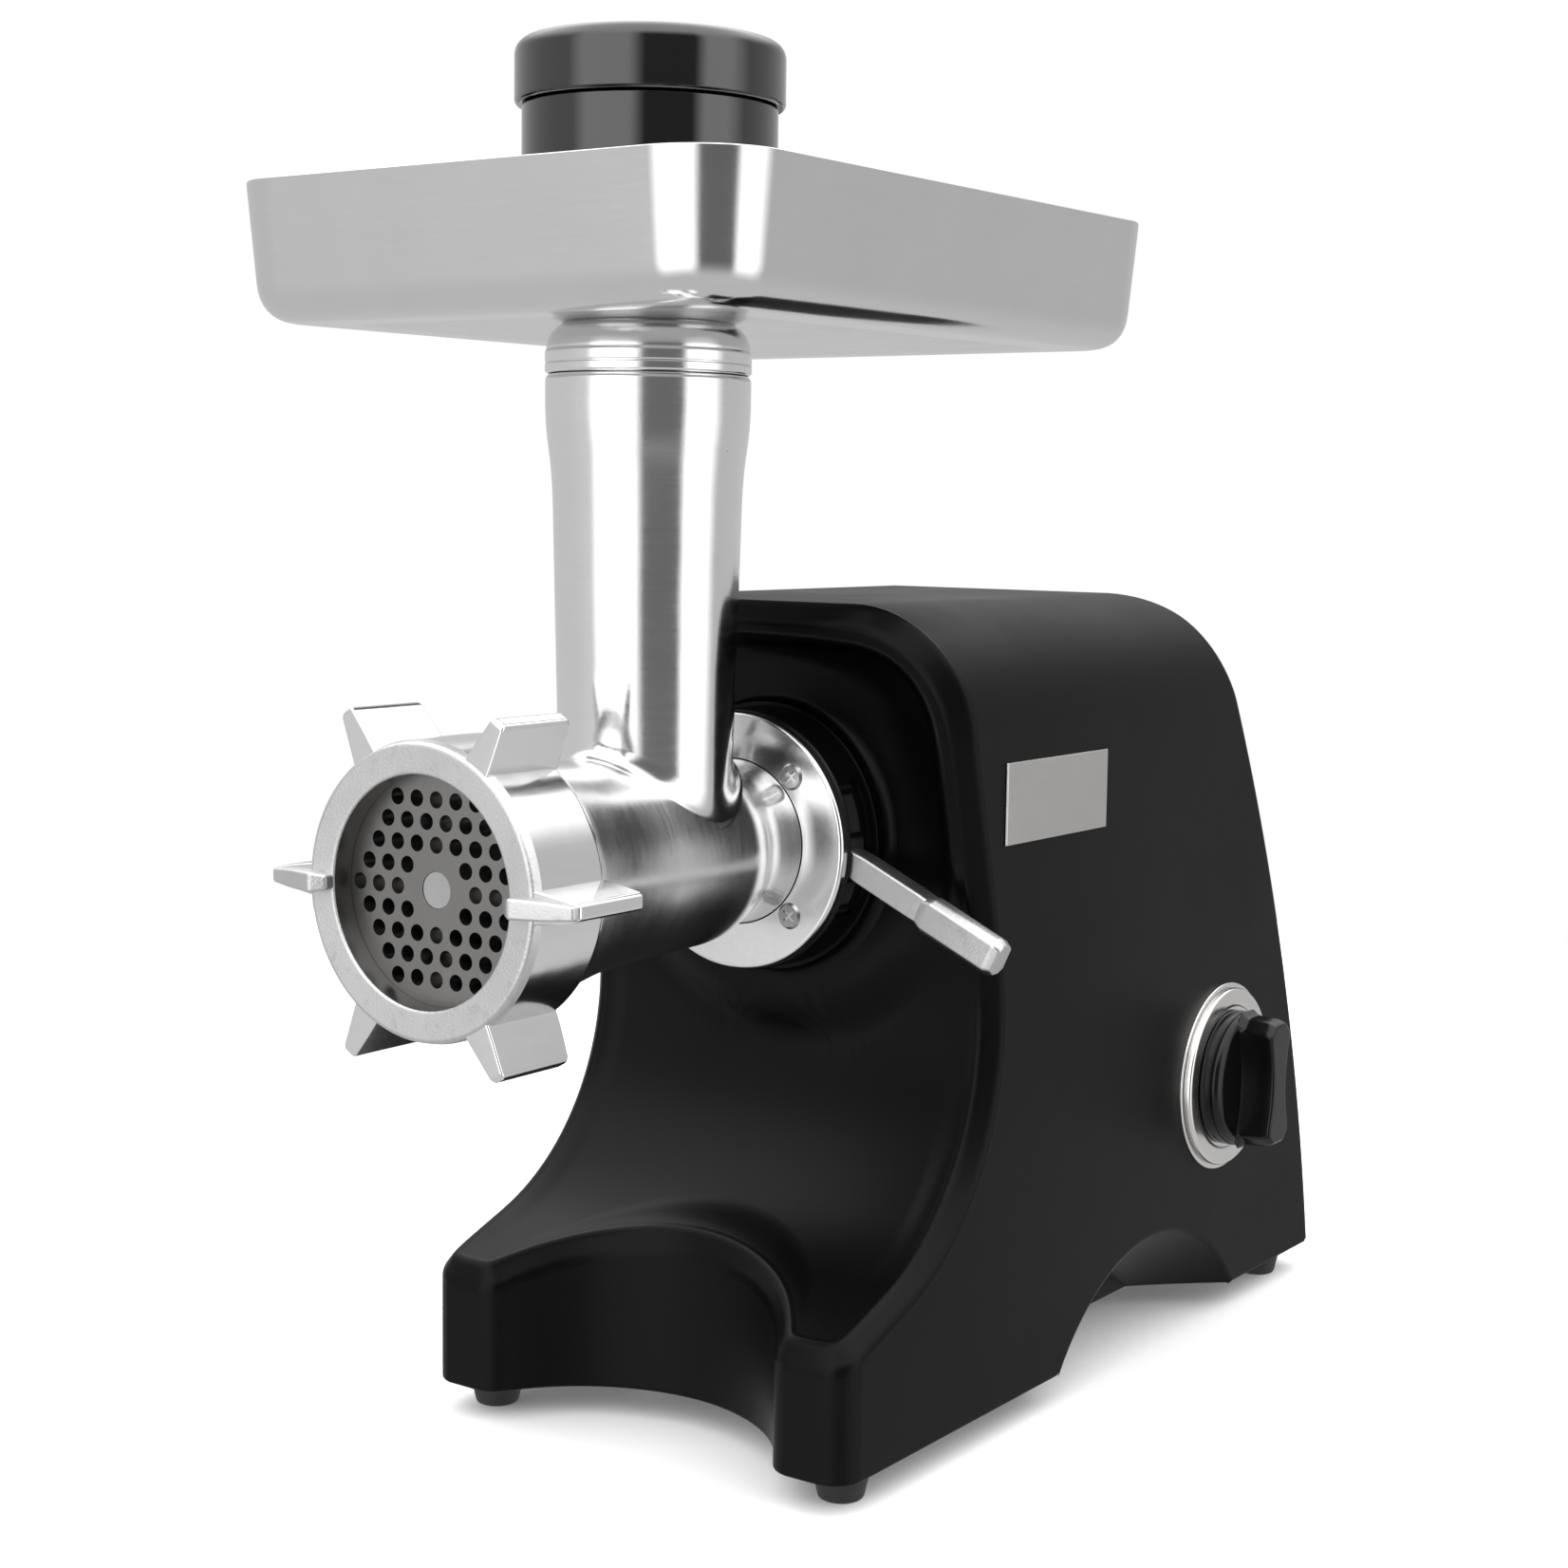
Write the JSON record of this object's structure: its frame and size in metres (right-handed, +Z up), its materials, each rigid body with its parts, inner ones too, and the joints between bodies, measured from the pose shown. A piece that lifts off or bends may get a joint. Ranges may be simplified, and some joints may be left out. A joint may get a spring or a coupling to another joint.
{
  "type": "electric meat grinder",
  "caption": "Countertop electric meat grinder: black motor housing with side switch, polished grinding head with lugged ring nut and perforated plate, deep feed tray and pusher.",
  "frame": {"origin": "centre of the object's footprint, on the surface it stands on", "axes": "+Z up, -Y towards the grinding head's outlet, +X towards the side with the switch and the lever"},
  "size_m": [0.2064, 0.397, 0.3981],
  "materials": {
    "black_shell": "satin textured black",
    "black_gloss": "glossy black",
    "rubber": "matt",
    "cast_aluminium": "polished casting",
    "tray_aluminium": "satin brushed",
    "satin_aluminium": "satin casting",
    "plate_steel": "ground",
    "steel": "plain",
    "chrome": "polished",
    "nylon": "natural",
    "copper": "enamelled wire",
    "lamination": "varnished stack",
    "dark_plastic": "plain",
    "badge_metal": "satin"
  },
  "bodies": {
    "machine": {"housing": "black_shell", "front_cover": "black_shell", "base_plate": "dark_plastic", "feet": "rubber", "foot_screws": "steel", "base_screws": "steel", "collar": "black_shell", "face_ring": "cast_aluminium", "face_ring_screws": "steel", "badge": "badge_metal", "gearbox_front": "satin_aluminium", "gearbox_rear": "satin_aluminium", "gearbox_screws": "steel", "output_bearings": "steel", "lay_bearings": "steel", "stator": "lamination", "field_coils": "copper", "motor_bracket": "steel", "motor_bearings": "steel", "brush_holders": "copper", "escutcheon": "chrome", "rotary_switch": "dark_plastic", "cord_inlet": "rubber", "terminal_block": "nylon"},
    "head": {"head_casting": "cast_aluminium", "cutting_plate": "plate_steel", "thrust_washer": "nylon"},
    "ring_nut": {"ring_nut": "satin_aluminium"},
    "auger": {"auger": "satin_aluminium", "knife": "steel"},
    "tray": {"tray": "tray_aluminium"},
    "pusher": {"pusher": "black_gloss"},
    "pusher_cap": {"pusher_cap": "black_gloss"},
    "lever": {"lock_lever": "satin_aluminium"},
    "knob": {"knob": "black_gloss"},
    "output_shaft": {"output_wheel": "steel"},
    "layshaft": {"layshaft": "steel"},
    "motor_rotor": {"armature": "copper", "motor_fan": "dark_plastic"}
  },
  "joints": [
    {"name": "head_pull", "type": "slide", "parent": "machine", "child": "head", "axis": [0, -1, 0], "range_m": [0, 0.03]},
    {"name": "ring_nut_turn", "type": "hinge", "parent": "head", "child": "ring_nut", "pos_m": [0.0058, -0.1836, 0.17495], "axis": [0, -1, 0], "range_deg": [0, 60]},
    {"name": "auger_spin", "type": "hinge", "parent": "head", "child": "auger", "pos_m": [0.0058, -0.1336, 0.17495], "axis": [0, 1, 0], "continuous": true},
    {"name": "tray_lift", "type": "slide", "parent": "head", "child": "tray", "axis": [0, 0, 1], "range_m": [0, 0.04]},
    {"name": "pusher_lift", "type": "slide", "parent": "tray", "child": "pusher", "axis": [0, 0, 1], "range_m": [0, 0.09]},
    {"name": "pusher_cap_turn", "type": "hinge", "parent": "pusher", "child": "pusher_cap", "pos_m": [0.0058, -0.10114, 0.38], "axis": [0, 0, 1], "range_deg": [0, 90]},
    {"name": "lock_lever_turn", "type": "hinge", "parent": "machine", "child": "lever", "pos_m": [0.0058, -0.0506, 0.17495], "axis": [0, -1, 0], "range_deg": [-14, 16]},
    {"name": "switch_turn", "type": "hinge", "parent": "machine", "child": "knob", "pos_m": [0.0813, 0.1164, 0.0843], "axis": [1, 0, 0], "range_deg": [-60, 60]},
    {"name": "motor_spin", "type": "hinge", "parent": "machine", "child": "motor_rotor", "pos_m": [0.0058, 0.0664, 0.10847], "axis": [0, 1, 0], "continuous": true},
    {"name": "layshaft_spin", "type": "hinge", "parent": "machine", "child": "layshaft", "pos_m": [-0.01607, -0.0036, 0.13706], "axis": [0, 1, 0], "continuous": true},
    {"name": "output_spin", "type": "hinge", "parent": "machine", "child": "output_shaft", "pos_m": [0.0058, -0.0136, 0.17495], "axis": [0, 1, 0], "continuous": true}
  ],
  "couplings": [
    {"joint": "layshaft_spin", "follows": "motor_spin", "ratio": -0.2},
    {"joint": "output_spin", "follows": "motor_spin", "ratio": 0.05},
    {"joint": "auger_spin", "follows": "motor_spin", "ratio": 0.05}
  ]
}
